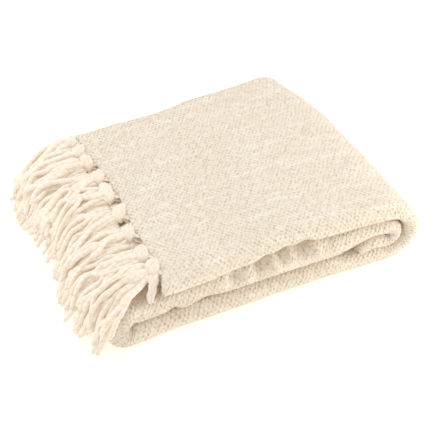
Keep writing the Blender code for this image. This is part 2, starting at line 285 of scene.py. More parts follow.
# Loose yarns of the front knot
TAIL_PATH = (
    (0.042, 0.030, 0.0920),
    (0.041, 0.016, 0.0930),
    (0.037, 0.006, 0.0840),
    (0.033, 0.008, 0.0590),
)
TAIL_YARNS = 6
TAIL_WIDE = 0.016
TAIL_CLOSE = 0.8  # they draw together by this share
TAIL_LENGTHS = (0.80, 1.0)
TAIL_STRAY = (-0.0025, 0.0015)
TAIL_SWAY = 0.0018
TAIL_SIZES = (0.75, 0.95)

# Knots. A wrap's place and sizes are shares of the knot's half sizes
Wrap = namedtuple("Wrap", "place wide high")
WRAPS = (
    Wrap(-0.82, 0.92, 0.62),
    Wrap(-0.42, 1.00, 0.92),
    Wrap(0.00, 1.04, 1.05),
    Wrap(0.42, 1.00, 0.93),
    Wrap(0.82, 0.92, 0.64),
)
WRAP_RADIUS = 0.27  # as a share of the knot's half length
WRAP_THICKS = (0.9, 1.15)
WRAP_SIZES = (0.95, 1.05)
WRAP_MEET = 0.22  # the wraps draw together to this share of their places at the knot's two ends
WRAP_THIN = 0.65  # and thin out to this share there
WRAP_UNEVEN = 0.08
WRAP_LEAN = (0.05, 0.40)
WRAP_TURN = 0.06
WRAP_STRAY = 0.0008
WRAP_STEPS = 28
KNOT_BACK = 0.85  # the middle of a knot lies this share of its half length outside the cloth's end
KNOT_STRAY = 0.001
CORE_SIDES = 12
CORE_PLACES = (-1.1, -0.5, 0.0, 0.5, 1.1)  # shares of the knot's half length
CORE_SIZES = (0.45, 0.66, 0.80, 0.68, 0.42)  # shares of its half height

# Materials. A noise has one scale, or one along and one across or round the yarn
Noise = namedtuple("Noise", "scale detail roughness", defaults=(0.5,))
Layer = namedtuple("Layer", "low high share colour")  # the noise's range, and how much of the colour shows
Surface = namedtuple("Surface", "bump depth roughness sheen glow")
SPECULAR = 0.15
SHEEN_ROUGHNESS = 0.6
GLOW_COLOUR = (1.0, 0.78, 0.52, 1.0)

CLOTH_LIGHT = (0.885, 0.812, 0.710, 1.0)
CLOTH_BRIGHT = (0.945, 0.905, 0.835, 1.0)
CLOTH_TAN = (0.845, 0.752, 0.625, 1.0)
# the grain's dark specks, and the painted shade that darkens the weave's pinholes
CLOTH_SPECK_AND_HOLE_SHADE = (0.600, 0.460, 0.305, 1.0)
CLOTH_TONE = Noise(14.0, 3.0)
SLUB = Noise((11.0, 105.0), 2.0)
SHORT_SLUB = Noise((60.0, 250.0), 2.0)
TUFT = Noise(900.0, 3.0, 0.7)
GRAIN = Noise(430.0, 2.0, 0.6)
TONE_LAYER = Layer(0.35, 0.70, 0.25, CLOTH_TAN)
SLUB_LAYER = Layer(0.48, 0.72, 0.85, CLOTH_BRIGHT)
SHORT_SLUB_LAYER = Layer(0.54, 0.74, 0.50, CLOTH_TAN)
TUFT_LAYER = Layer(0.50, 0.75, 0.50, CLOTH_TAN)
GRAIN_LAYER = Layer(0.50, 0.72, 0.65, CLOTH_SPECK_AND_HOLE_SHADE)
# share of painted shade in the weave's pinholes
HOLE_SHADE_SHARE = 0.82
TUFT_HEIGHT, GRAIN_HEIGHT = 0.5, -0.9
CLOTH_SURFACE = Surface(bump=1.0, depth=0.0018, roughness=0.95, sheen=0.10, glow=0.015)

# Weave: a plain weave, whose raised yarns make slanting ribs of this spacing along and across
WEAVE_ALONG = 0.00660
WEAVE_ACROSS = 0.00790
WEAVE_DRIFT, DRIFT = 0.0070, Noise(42.0, 2.0)  # the yarns' slow drift
WEAVE_JITTER, JITTER = 0.0030, Noise(230.0, 1.0)  # and their small unevenness
ALONG_SHIFT, ACROSS_SHIFT = 3.0, 7.0  # the two are taken from different places
STRONG_RIB, WEAK_RIB = 0.62, 0.50  # depth of the grooves
RIB_NOISE = Noise(130.0, 3.0)
RIB_RANGE = (0.32, 0.66, 0.25, 1.0)
HOLE_SHARP = 1.3

YARN_LIGHT = (0.800, 0.745, 0.690, 1.0)
YARN_TAN = (0.770, 0.700, 0.615, 1.0)
# the fibres' dark streaks, and the painted shade in the grooves between the plies
YARN_FIBRE_AND_GROOVE_SHADE = (0.690, 0.570, 0.430, 1.0)
YARN_TONE = Noise((25.0, 0.6), 2.0)
FIBRES = Noise((45.0, 9.0), 3.0, 0.6)
FUZZ = Noise((600.0, 10.0), 3.0, 0.6)
YARN_TONE_LAYER = Layer(0.35, 0.70, 0.80, YARN_TAN)
FIBRE_LAYER = Layer(0.50, 0.30, 0.50, YARN_FIBRE_AND_GROOVE_SHADE)
YARN_TWIST = 0.009  # length of one turn of a yarn's plies
GROOVE_SHARP = 3.0
# share of painted shade in the grooves between the plies
GROOVE_SHADE_SHARE = 0.35
GROOVE_HEIGHT, FUZZ_HEIGHT = -0.6, 0.5
YARN_SURFACE = Surface(bump=0.55, depth=0.0010, roughness=0.95, sheen=0.12, glow=0.12)

# Camera fitted to the photo, in the stack's own coordinates
CAMERA_AZIMUTH = -25.75
CAMERA_ELEVATION = 41.49
CAMERA_DISTANCE = 2.0263
CAMERA_TARGET = (0.18054, 0.1175, 0.05305)
CAMERA_LENS = 123.28
CAMERA_CLIP = (0.05, 50.0)
SENSOR = 36.0

# Studio
SKY = 0.80
SKY_COLOUR = (1.0, 0.970, 0.925, 1.0)
FLOOR_REACH = 6.0
FLOOR_GREY = (0.75, 0.75, 0.75, 1.0)
FLOOR_ROUGHNESS = 0.9
FLOOR_GLOW = 0.50
FLOOR_COLOUR = (1.0, 0.93, 0.81, 1.0)
Lamp = namedtuple("Lamp", "name place size power colour")
LAMPS = (
    Lamp("key", (-0.2, 0.4, 2.4), 1.6, 18.5, (0.94, 0.975, 1.0)),
    Lamp("left", (-1.6, 0.9, 1.0), 1.2, 8.3, (1.0, 0.975, 0.94)),
    Lamp("right", (0.80, -0.52, 0.28), 0.5, 3.4, (1.0, 0.93, 0.81)),
)


def smooth(value, start, end):
    """0 before start, 1 after end, an even S between."""
    share = np.clip((np.asarray(value, float) - start) / (end - start), 0.0, 1.0)
    return share * share * (3.0 - 2.0 * share)


def eased(value, stops, levels):
    """The levels at the stops, joined by even S curves."""
    result = np.full(np.shape(value), float(levels[0]))
    for i in range(len(stops) - 1):
        result += (levels[i + 1] - levels[i]) * smooth(value, stops[i], stops[i + 1])
    return result


def window(value, places):
    """0 before the first place, 1 from the second to the third, 0 after the fourth."""
    start, full, fade, end = places
    return smooth(value, start, full) * (1.0 - smooth(value, fade, end))


def front_shift(x, z):
    """How far the front of the stack has moved to the back, at this place along it and height."""
    rows = [eased(x, SHIFT_X, level.shifts) for level in FRONT_SHIFT]
    shift = rows[0]
    for i in range(len(rows) - 1):
        shift = shift + (rows[i + 1] - rows[i]) * smooth(z, FRONT_SHIFT[i].z, FRONT_SHIFT[i + 1].z)
    return shift


def gathered(x, y):
    """How far the knots draw the cloth's end out towards them."""
    pull = np.zeros_like(x)
    for knot in UPPER_ROW.knots:
        pull += np.exp(-(((y - knot.y) / GATHER_WIDE) ** 2))
    return GATHER_PULL * pull * window(x, GATHER_X)


def front_corner(x, y, z):
    """1 at the front corner of the tasselled end, 0 away from it."""
    return window(x, CORNER_X) * (1.0 - smooth(y, 0.0, CORNER_Y)) * smooth(z, CORNER_FROM_Z, CORNER_TO_Z)


def crease_push(x, y, z):
    """How far the listed creases push the front faces to the back."""
    push = np.zeros_like(x)
    for crease in CREASES:
        along = (x - crease.x - crease.slant * (z - crease.z)) / crease.half_x
        up = (z - crease.z) / crease.half_z
        push += crease.push * np.exp(-(along**2) - up**2)
    return push * (1.0 - smooth(y, 0.0, CREASE_REACH))


def settle(points):
    """The neat stack's points as the real one lies. The floor stays flat."""
    x, y, z = np.asarray(points, float).T
    along = np.clip(x / STACK_LENGTH, 0.0, 1.0)
    across = np.clip(y / DEPTH, 0.0, 1.0)
    wave = np.sin(WAVES_ALONG * math.pi * along + WAVE_SLANT * across)
    wave = wave * np.sin(WAVES_ACROSS * math.pi * across)
    crown = CROWN * np.sin(math.pi * across) * smooth(along, CROWN_FROM, CROWN_TO)
    droop = front_corner(x, y, z)
    height = z * (1.0 + crown + SURFACE_WAVE * wave) - CORNER_DROP * droop
    front = front_shift(x, z)
    shift = front + (eased(x, SHIFT_X, BACK_SHIFT) - front) * across
    end = eased(y, CLOTH_END_Y, CLOTH_END_SHIFT) * (1.0 - smooth(x, CLOTH_END_FROM, CLOTH_END_TO))
    end = end - gathered(x, y) - CORNER_OUT * droop
    corner = BACK_CORNER_CUT * smooth(across, BACK_CORNER_FROM, BACK_CORNER_TO)
    cut = (corner + END_TAPER * across) * along**2
    foot = FOOT_OUT * (1.0 - smooth(z, 0.0, FOOT_TO_Z)) * (1.0 - smooth(x, LEFT_END_X, FOOT_TO_X))
    toe = TOE_IN * (1.0 - smooth(z, 0.0, TOE_TO_Z)) * along**2
    return np.stack([x + end - cut - foot - toe, y + shift + crease_push(x, y, z), height], -1)


def arm_stations(arm, steps):
    """One arm's stations: x and z of its centre line, pitch of its plies, x and z of its outward normal."""
    x = np.linspace(arm[0].x, arm[-1].x, steps + 1)
    way = 1.0 if arm[-1].x > arm[0].x else -1.0
    stops = [way * stop.x for stop in arm]
    heights = [stop.z for stop in arm]
    z = eased(way * x, stops, heights)
    pitch = eased(way * x, stops, [stop.pitch for stop in arm])
    ahead = eased(way * x + SLOPE_STEP, stops, heights)
    behind = eased(way * x - SLOPE_STEP, stops, heights)
    slope = (ahead - behind) / (2.0 * SLOPE_STEP)
    length = np.hypot(1.0, slope)
    return np.stack([x, z, pitch, -slope / length, way / length], -1)


def turn_stations(before, after, side, steps, press=0.0):
    """Half circle between the ends of two arms. Side is +1 at the right and -1 at the left."""
    start, end = before[-1], after[0]
    angle = np.linspace(0.0, math.pi, steps + 1)[1:-1]
    share = (1.0 - np.cos(angle)) / 2.0
    radius = (start[1] - end[1]) / 2.0
    x = start[0] + side * abs(radius) * np.sin(angle)
    z = start[1] + (end[1] - start[1]) * share
    pitch = (start[2] + (end[2] - start[2]) * share) * (1.0 - press * np.sin(angle))
    return np.stack([x, z, pitch, side * np.sin(angle), math.copysign(1.0, radius) * np.cos(angle)], -1)


def bundle_path():
    """Stations of the whole folded length, from the tasselled end to the tucked end."""
    top = arm_stations(TOP_ARM, TOP_STEPS)
    bottom = arm_stations(BOTTOM_ARM, BOTTOM_STEPS)
    middle = arm_stations(MIDDLE_ARM, MIDDLE_STEPS)
    tucked = arm_stations(TUCKED_ARM, TUCKED_STEPS)
    return np.concatenate([
        top,
        turn_stations(top, bottom, 1, BIG_TURN_STEPS, TURN_PRESS),
        bottom,
        turn_stations(bottom, middle, -1, LEFT_TURN_STEPS),
        middle,
        turn_stations(middle, tucked, 1, SMALL_TURN_STEPS),
        tucked,
    ])


def fold_line(centre, wide, high, start, end, steps):
    """Round fold in depth and height, from one angle to another."""
    angle = np.radians(np.linspace(start, end, steps + 1))
    return np.stack([centre + wide * np.cos(angle), high * np.sin(angle)], -1)


def ply_line(y_from, y_to, level, steps):
    """Flat run of a ply between two folds, without their own points."""
    y = np.linspace(y_from, y_to, steps + 1)[1:-1]
    return np.stack([y, np.full_like(y, level)], -1)


def section_line(pitch, thick):
    """Middle of the four plies in depth and height about the bundle's centre line."""
    high, low = OUTER_PLY * pitch, INNER_PLY * pitch
    fold = NOSE * high + thick / 2.0
    back = DEPTH - thick / 2.0 - low
    lower_end = DEPTH - SELVEDGE_STEP
    return np.concatenate([
        [(DEPTH, high), (DEPTH - EDGE_ROUND, high)],
        ply_line(DEPTH - EDGE_ROUND, fold, high, OUTER_PLY_STEPS),
        fold_line(fold, NOSE * high, high, 90.0, 270.0, OUTER_FOLD_STEPS),
        ply_line(fold, back, -high, LOWER_PLY_STEPS),
        fold_line(back, low, low, -90.0, 90.0, HIDDEN_FOLD_STEPS) - (0.0, pitch),
        ply_line(back, fold, -low, HIDDEN_PLY_STEPS),
        fold_line(fold, low, low, 270.0, 90.0, HIDDEN_FOLD_STEPS),
        ply_line(fold, lower_end, low, HIDDEN_PLY_STEPS),
        [(lower_end - EDGE_ROUND, low), (lower_end, low)],
    ])


def arc_length(points):
    """How far each point lies along the line that they make."""
    steps = np.linalg.norm(np.diff(points, axis=0), axis=-1)
    return np.concatenate([[np.zeros_like(steps[0])], np.cumsum(steps, axis=0)])


def cloth_grid():
    """Points of the cloth's closed outline at every station, and how far each lies along and across it."""
    stations = bundle_path()
    run = arc_length(stations[:, :2])
    rings, across = [], []
    for (x, z, pitch, side_x, side_z), place in zip(stations, run):
        thick = min(CLOTH_THICK, pitch - PRESSED_GAP)
        line = section_line(pitch, thick)
        heading = np.gradient(line, axis=0)
        heading /= np.linalg.norm(heading, axis=1)[:, None]
        width = arc_length(line)
        edge = np.minimum(width, width[-1] - width)
        end = min(place, run[-1] - place)
        thin = rounded_edge(edge) * rounded_edge(end)
        side = np.stack([-heading[:, 1], heading[:, 0]], -1) * (thick / 2.0 * thin)[:, None]
        outline = np.concatenate([line + side, (line - side)[::-1]])
        depth, level = outline.T
        rings.append(np.stack([x + level * side_x, depth, z + level * side_z], -1))
        across.append(np.concatenate([width, width[::-1]]))
    points = np.array(rings)
    outer = arc_length(points[:, OUTER_PLY_STEPS // 2, ::2])
    along = np.broadcast_to(outer[:, None], points.shape[:2])
    return points, along, np.array(across)


def rounded_edge(distance):
    """Share of the full thickness this far from an edge of the cloth."""
    near = 1.0 - np.clip(np.asarray(distance) / EDGE_ROUND, 0.0, 1.0)
    return np.sqrt(np.clip(1.0 - near**2, EDGE_THIN**2, 1.0))


def uneven(points, along, across):
    """The settled grid with the cloth's own soft unevenness, along its normals."""
    down = np.gradient(points, axis=0)
    over = np.gradient(points, axis=1)
    normal = np.cross(over, down)
    normal /= np.maximum(np.linalg.norm(normal, axis=-1), TINY)[..., None]
    height = np.zeros(along.shape)
    for i in range(along.shape[0]):
        for j in range(along.shape[1]):
            for bumps in UNEVEN:
                place = (along[i, j] * bumps.along, across[i, j] * bumps.across, bumps.slice)
                height[i, j] += bumps.size * noise.noise(Vector(place))
    floor = smooth(points[..., 2], UNEVEN_FROM_Z, UNEVEN_TO_Z)
    return points + normal * (height * floor)[..., None]


def grid_mesh(name, points, along, across):
    """A closed body from equal rings that are folded ribbon outlines, with the cloth's own coordinates."""
    rows, count = points.shape[:2]
    index = np.arange(rows * count).reshape(rows, count)
    around = np.roll(index, -1, axis=1)
    sides = np.stack([index[:-1], around[:-1], around[1:], index[1:]], -1).reshape(-1, 4)
    half = count // 2
    first = np.arange(half - 1)
    caps = np.stack([first, first + 1, count - 2 - first, count - 1 - first], -1)
    faces = np.concatenate([sides, index[0][caps][:, ::-1], index[-1][caps]])
    mesh = bpy.data.meshes.new(name)
    mesh.from_pydata(points.reshape(-1, 3).tolist(), [], faces.tolist())
    coords = np.stack([along, across], -1).reshape(-1, 2)
    layer = mesh.uv_layers.new(name="cloth")
    corners = np.zeros(len(mesh.loops), np.int32)
    mesh.loops.foreach_get("vertex_index", corners)
    layer.data.foreach_set("uv", coords[corners].astype(np.float32).ravel())
    mesh.shade_smooth()
    mesh.update()
    return mesh


class Nodes:
    """Short hand for a material's node tree."""

    def __init__(self, name):
        self.material = bpy.data.materials.new(name)
        self.material.use_nodes = True
        self.tree = self.material.node_tree
        self.shader = self.tree.nodes["Principled BSDF"]

    def add(self, kind, **settings):
        node = self.tree.nodes.new(kind)
        for key, value in settings.items():
            setattr(node, key, value)
        return node

    def put(self, socket, value):
        """Links another node's output to a socket, or sets the socket's own value."""
        if isinstance(value, bpy.types.NodeSocket):
            self.tree.links.new(value, socket)
        else:
            socket.default_value = value

    def set_shader(self, **values):
        """Sets the shader's own values, by socket name with _ for a space."""
        for name, value in values.items():
            self.shader.inputs[name.replace("_", " ")].default_value = value

    def math(self, operation, *values):
        node = self.add("ShaderNodeMath", operation=operation)
        for socket, value in zip(node.inputs, values):
            self.put(socket, value)
        return node.outputs[0]

    def split(self, coords):
        node = self.add("ShaderNodeSeparateXYZ")
        self.put(node.inputs[0], coords)
        return node.outputs[0], node.outputs[1]

    def moved(self, coords, shift):
        node = self.add("ShaderNodeVectorMath", operation="ADD")
        self.put(node.inputs[0], coords)
        node.inputs[1].default_value = (shift, shift, 0.0)
        return node.outputs[0]

    def scaled(self, coords, along, across):
        node = self.add("ShaderNodeVectorMath", operation="MULTIPLY")
        self.put(node.inputs[0], coords)
        node.inputs[1].default_value = (along, across, 1.0)
        return node.outputs[0]

    def noise(self, coords, spec):
        """Noise with one scale, or with one along and one across."""
        scale = spec.scale
        if isinstance(scale, tuple):
            coords = self.scaled(coords, *scale)
            scale = 1.0
        node = self.add("ShaderNodeTexNoise")
        self.put(node.inputs["Vector"], coords)
        node.inputs["Scale"].default_value = scale
        node.inputs["Detail"].default_value = spec.detail
        node.inputs["Roughness"].default_value = spec.roughness
        return node.outputs["Fac"]

    def ramp(self, value, low, high, low_out, high_out):
        node = self.add("ShaderNodeMapRange", interpolation_type="SMOOTHSTEP")
        for socket, item in zip(node.inputs, (value, low, high, low_out, high_out)):
            self.put(socket, item)
        return node.outputs[0]

    def blend(self, share, first, second):
        node = self.add("ShaderNodeMix", data_type="RGBA")
        self.put(node.inputs["Factor"], share)
        self.put(node.inputs["A"], first)
        self.put(node.inputs["B"], second)
        return node.outputs["Result"]

    def layered(self, colour, value, layer):
        """The layer's colour covers the other as the value goes from low to high."""
        share = self.ramp(value, layer.low, layer.high, 0.0, layer.share)
        return self.blend(share, colour, layer.colour)

    def bump(self, height, strength, distance):
        node = self.add("ShaderNodeBump")
        self.put(node.inputs["Height"], height)
        node.inputs["Strength"].default_value = strength
        node.inputs["Distance"].default_value = distance
        return node.outputs["Normal"]

    def finish(self, colour, height, surface):
        """The finished material. Its faint warm glow stands for light that passes through the fluff."""
        self.put(self.shader.inputs["Base Color"], colour)
        self.put(self.shader.inputs["Normal"], self.bump(height, surface.bump, surface.depth))
        self.set_shader(Roughness=surface.roughness, Specular_IOR_Level=SPECULAR)
        self.set_shader(Sheen_Weight=surface.sheen, Sheen_Roughness=SHEEN_ROUGHNESS)
        self.set_shader(Emission_Color=GLOW_COLOUR, Emission_Strength=surface.glow)
        return self.material


def wandering(nodes, uv, place, shift):
    """A coordinate with the yarns' slow drift and their small unevenness."""
    slow = nodes.math("SUBTRACT", nodes.noise(nodes.moved(uv, shift), DRIFT), 0.5)
    quick = nodes.math("SUBTRACT", nodes.noise(nodes.moved(uv, -shift), JITTER), 0.5)
    place = nodes.math("MULTIPLY_ADD", slow, WEAVE_DRIFT, place)
    return nodes.math("MULTIPLY_ADD", quick, WEAVE_JITTER, place)


def ribs(nodes, phase):
    """1 in the groove between two ribs, 0 on top of a rib."""
    wave = nodes.math("COSINE", nodes.math("MULTIPLY", phase, FULL_TURN))
    return nodes.math("MULTIPLY_ADD", wave, 0.5, 0.5)


def weave_height(nodes, uv):
    """Height of the weave, and the mask of the painted shade in its pinholes."""
    u, v = nodes.split(uv)
    along = nodes.math("DIVIDE", wandering(nodes, uv, u, ALONG_SHIFT), WEAVE_ALONG)
    across = nodes.math("DIVIDE", wandering(nodes, uv, v, ACROSS_SHIFT), WEAVE_ACROSS)
    strong = ribs(nodes, nodes.math("ADD", along, across))
    weak = ribs(nodes, nodes.math("SUBTRACT", along, across))
    hole_shade = nodes.math("POWER", nodes.math("MULTIPLY", strong, weak), HOLE_SHARP)
    uneven_rib = nodes.ramp(nodes.noise(uv, RIB_NOISE), *RIB_RANGE)
    sunk = nodes.math("MULTIPLY_ADD", weak, WEAK_RIB, nodes.math("MULTIPLY", strong, STRONG_RIB))
    height = nodes.math("SUBTRACT", 1.0, nodes.math("MULTIPLY", sunk, uneven_rib))
    return height, nodes.math("MULTIPLY", hole_shade, uneven_rib)


def cloth_material():
    """Woven chenille: pebbly ribs with painted shade in their pinholes, slubs along the yarns and a fluffy
    grain.
    """
    nodes = Nodes("chenille_weave")
    uv = nodes.add("ShaderNodeUVMap", uv_map="cloth").outputs[0]
    height, hole_shade = weave_height(nodes, uv)
    tuft, grain = nodes.noise(uv, TUFT), nodes.noise(uv, GRAIN)
    colour = nodes.layered(CLOTH_LIGHT, nodes.noise(uv, CLOTH_TONE), TONE_LAYER)
    colour = nodes.layered(colour, nodes.noise(uv, SLUB), SLUB_LAYER)
    colour = nodes.layered(colour, nodes.noise(uv, SHORT_SLUB), SHORT_SLUB_LAYER)
    colour = nodes.layered(colour, tuft, TUFT_LAYER)
    colour = nodes.layered(colour, grain, GRAIN_LAYER)
    # painted shade: the weave's pinholes are darkened towards the deep colour
    colour = nodes.blend(nodes.math("MULTIPLY", hole_shade, HOLE_SHADE_SHARE), colour, CLOTH_SPECK_AND_HOLE_SHADE)
    height = nodes.math("MULTIPLY_ADD", grain, GRAIN_HEIGHT, height)
    height = nodes.math("MULTIPLY_ADD", tuft, TUFT_HEIGHT, height)
    return nodes.finish(colour, height, CLOTH_SURFACE)


def yarn_material():
    """Fluffy yarn: plies that wind round it, with painted shade in the grooves between them, and fine
    fibres.
    """
    nodes = Nodes("chenille_yarn")
    uv = nodes.add("ShaderNodeUVMap", uv_map="yarn").outputs[0]
    along, round_share = nodes.split(uv)
    fibres = nodes.noise(uv, FIBRES)
    turns = nodes.math("MULTIPLY_ADD", along, 1.0 / YARN_TWIST, round_share)
    groove = nodes.math("POWER", ribs(nodes, turns), GROOVE_SHARP)
    colour = nodes.layered(YARN_LIGHT, nodes.noise(uv, YARN_TONE), YARN_TONE_LAYER)
    colour = nodes.layered(colour, fibres, FIBRE_LAYER)
    # painted shade: the grooves between the plies are darkened towards the deep colour
    colour = nodes.blend(nodes.math("MULTIPLY", groove, GROOVE_SHADE_SHARE), colour, YARN_FIBRE_AND_GROOVE_SHADE)
    height = nodes.math("MULTIPLY_ADD", nodes.noise(uv, FUZZ), FUZZ_HEIGHT, fibres)
    height = nodes.math("MULTIPLY_ADD", groove, GROOVE_HEIGHT, height)
    return nodes.finish(colour, height, YARN_SURFACE)


def shown(name, mesh, material):
    """Puts a mesh into the scene, moved into the frame."""
    mesh.materials.append(material)
    piece = bpy.data.objects.new(name, mesh)
    piece.location = [-value for value in ORIGIN]
    bpy.context.scene.collection.objects.link(piece)
    bpy.context.view_layer.update()
    return piece


def make_cloth(material):
    """The folded cloth with its settled shape, creases and soft unevenness."""
    points, along, across = cloth_grid()
    settled = settle(points.reshape(-1, 3)).reshape(points.shape)
    settled = uneven(settled, along, across)
    piece = shown("woven_cloth", grid_mesh("woven_cloth", settled, along, across), material)
    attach(piece, "root")
    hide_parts("blanket")
    return piece


class Tubes:
    """Collects round yarns as one mesh, with coordinates along and around each yarn."""

    def __init__(self):
        self.points = []
        self.faces = []
        self.coords = []
        self.count = 0

    def add(self, line, radii, sides, closed=False, seed=0.0):
        """One yarn along a line. Its material starts at the seed's place along the yarn."""
        line = np.asarray(line, float)
        heading = np.gradient(line, axis=0)
        if closed:
            heading = np.roll(line, -1, axis=0) - np.roll(line, 1, axis=0)
        heading /= np.maximum(np.linalg.norm(heading, axis=1), TINY)[:, None]
        side = self.frames(heading)
        up = np.cross(side, heading)
        run = arc_length(line)
        turn = np.arange(sides) / sides
        around = np.cos(FULL_TURN * turn)[None, :, None] * side[:, None]
        around = around + np.sin(FULL_TURN * turn)[None, :, None] * up[:, None]
        radii = np.asarray(radii)[:, None, None]
        self.points.append((line[:, None] + around * radii).reshape(-1, 3))
        self.add_faces(len(line), sides, closed, run + seed)
        self.count += len(line) * sides

    def frames(self, heading):
        """A direction to the side at every point, carried along the line without a twist."""
        side = np.zeros_like(heading)
        first = np.cross(heading[0], (0.0, 0.0, 1.0))
        if np.linalg.norm(first) < STEEP:
            first = np.cross(heading[0], (0.0, 1.0, 0.0))
        side[0] = first / np.linalg.norm(first)
        for i in range(1, len(side)):
            moved = side[i - 1] - heading[i] * (side[i - 1] @ heading[i])
            side[i] = moved / np.linalg.norm(moved)
        return side

    def add_faces(self, rows, sides, closed, run):
        """Quads between the rings, each corner with its place along the yarn and round it."""
        index = self.count + np.arange(rows * sides).reshape(rows, sides)
        last = rows if closed else rows - 1
        for i in range(last):
            near, far = index[i], index[(i + 1) % rows]
            far_run = run[i + 1] if i + 1 < rows else 2.0 * run[i] - run[i - 1]
            for j in range(sides):
                k = (j + 1) % sides
                self.faces.append((near[j], near[k], far[k], far[j]))
                left, right = j / sides, (j + 1) / sides
                self.coords += [(run[i], left), (run[i], right), (far_run, right), (far_run, left)]
        if not closed:
            for ring, place in ((index[0][::-1], run[0]), (index[-1], run[-1])):
                self.faces.append(tuple(ring))
                self.coords += [(place, j / sides) for j in range(sides)]

    def mesh(self, name):
        """All the yarns as they lie in the settled stack, clear of the floor."""
        points = settle(np.concatenate(self.points))
        points[:, 2] = np.maximum(points[:, 2], FLOOR_CLEAR)
        mesh = bpy.data.meshes.new(name)
        mesh.from_pydata(points.tolist(), [], self.faces)
        layer = mesh.uv_layers.new(name="yarn")
        layer.data.foreach_set("uv", np.asarray(self.coords, np.float32).ravel())
        mesh.shade_smooth()
        return mesh


def curve(points, share):
    """Points along a four-point curve."""
    share = np.asarray(share, float)[:, None]
    a, b, c, d = (np.asarray(point, float) for point in points)
    rest = 1.0 - share
    return a * rest**3 + 3.0 * b * rest**2 * share + 3.0 * c * rest * share**2 + d * share**3


def sway(share, draw, size):
    """Uneven side steps along a yarn, none at its root."""
    steps = np.zeros_like(share)
    for waves in SWAY_WAVES:
        steps += np.sin(draw.uniform(0.0, FULL_TURN) + waves * FULL_TURN * share) / waves
    return (steps - steps[0]) * size * smooth(share, 0.0, SWAY_GROWN)


def add_yarn(tubes, line, radius, draw):
    """One yarn with uneven thickness and a blunt, slightly worn end."""
    share = np.linspace(0.0, 1.0, len(line))
    phase = draw.uniform(0.0, FULL_TURN)
    swell = np.ones_like(share)
    for number, (size, pace) in enumerate(YARN_WAVES, 1):
        swell += size * np.sin(number * phase + pace * share)
    thick = radius * swell
    thick[0] *= ROOT_THIN
    thick[-2] *= TIP_SWELL
    thick[-1] *= draw.uniform(*TIP_THIN)
    line = line.copy()
    line[:, 2] = np.maximum(line[:, 2], thick + FLOOR_CLEAR)
    tubes.add(line, thick, YARN_SIDES, seed=draw.uniform(*SEEDS))


def add_clump(tubes, row, root_y, tip_y, layer, draw):
    """Some yarns that left the knot together and part towards their tips."""
    share = np.linspace(0.0, 1.0, YARN_STEPS)
    inner, outer = (np.array(path) for path in row.paths)
    shape = inner * (1.0 - layer) + outer * layer
    longer = draw.uniform(*CLUMP_LONGER)
    lift = draw.uniform(*CLUMP_LIFT)
    twist = draw.choice((-1.0, 1.0)) * draw.uniform(*CLUMP_TWIST)
    lean = draw.uniform(-CLUMP_LEAN, CLUMP_LEAN)
    start = draw.uniform(0.0, FULL_TURN)
    reach = float(eased(tip_y, REACH_Y, REACH_OUT))
    drop = FAR_DROP * float(smooth(tip_y, FAR_FROM, FAR_TO))
    opening = CLUMP_RADIUS * (CLUMP_TIGHT + (CLUMP_LOOSE - CLUMP_TIGHT) * share**CLUMP_OPENING)
    fan = smooth(share, FAN_FROM, 1.0)
    fan = (fan - fan[0]) / (1.0 - fan[0])
    arch = np.sin(math.pi * share)
    for number in range(row.yarns):
        length = float(eased(tip_y, LENGTH_Y, LENGTH_SHARE)) + longer + draw.uniform(*YARN_LONGER)
        across = curve(shape, share * length)
        angle = start + FULL_TURN * number / row.yarns + twist * share
        spread = opening * draw.uniform(*CLUMP_SIZES)
        strays = draw.random() < STRAY_SHARE and tip_y < STRAY_TO_Y
        stray = draw.uniform(-STRAY_LEAN, STRAY_LEAN) if strays else 0.0
        aside = lean + stray + draw.uniform(-YARN_LEAN, YARN_LEAN)
        end_y = min(max(tip_y + aside, TIP_LIMITS[0]), TIP_LIMITS[1])
        x = across[:, 0] - reach * share**2
        y = root_y + (end_y - root_y) * fan + spread * np.cos(angle) + sway(share, draw, SWAY_SIDE)
        z = across[:, 1] + spread * CLUMP_FLAT * np.sin(angle) + sway(share, draw, SWAY_UP)
        z += (lift + abs(stray) * STRAY_LIFT) * arch - drop * smooth(share, DROP_FROM, DROP_TO)
        add_yarn(tubes, np.stack([x, y, z], -1), YARN_RADIUS * draw.uniform(*YARN_SIZES), draw)


def add_wrap(tubes, centre, offset, wide, high, lean, radius, draw):
    """One yarn of a knot, once round the fringe's direction. The wraps meet at the knot's two ends."""
    angle = np.linspace(0.0, FULL_TURN, WRAP_STEPS, endpoint=False)
    middle = np.abs(np.sin(angle))
    y = wide * np.cos(angle)
    x = centre[0] + offset * (WRAP_MEET + (1.0 - WRAP_MEET) * middle) + lean * y
    line = np.stack([x, centre[1] + y, centre[2] + high * np.sin(angle)], -1)
    thick = radius * (WRAP_THIN + (1.0 - WRAP_THIN) * middle)
    thick *= 1.0 + WRAP_UNEVEN * np.sin(angle + draw.uniform(0.0, FULL_TURN))
    tubes.add(line, thick, YARN_SIDES, closed=True, seed=draw.uniform(*SEEDS))


def add_knot(tubes, centre, half, draw):
    """A plump knot: leaning wraps of yarn side by side, and the yarns that run through them."""
    half_x, half_y, half_z = half
    core = [(centre[0] + share * half_x, centre[1], centre[2]) for share in CORE_PLACES]
    tubes.add(core, [share * half_z for share in CORE_SIZES], CORE_SIDES, seed=draw.uniform(*SEEDS))
    radius = half_x * WRAP_RADIUS
    lean = draw.uniform(*WRAP_LEAN)
    for wrap in WRAPS:
        spot = (centre[0], centre[1] + draw.uniform(-WRAP_STRAY, WRAP_STRAY), centre[2])
        size = draw.uniform(*WRAP_SIZES)
        wide = (half_y - radius) * wrap.wide * size
        high = (half_z - radius) * wrap.high * size
        turn = lean + draw.uniform(-WRAP_TURN, WRAP_TURN)
        thick = radius * draw.uniform(*WRAP_THICKS)
        add_wrap(tubes, spot, wrap.place * half_x, wide, high, turn, thick, draw)


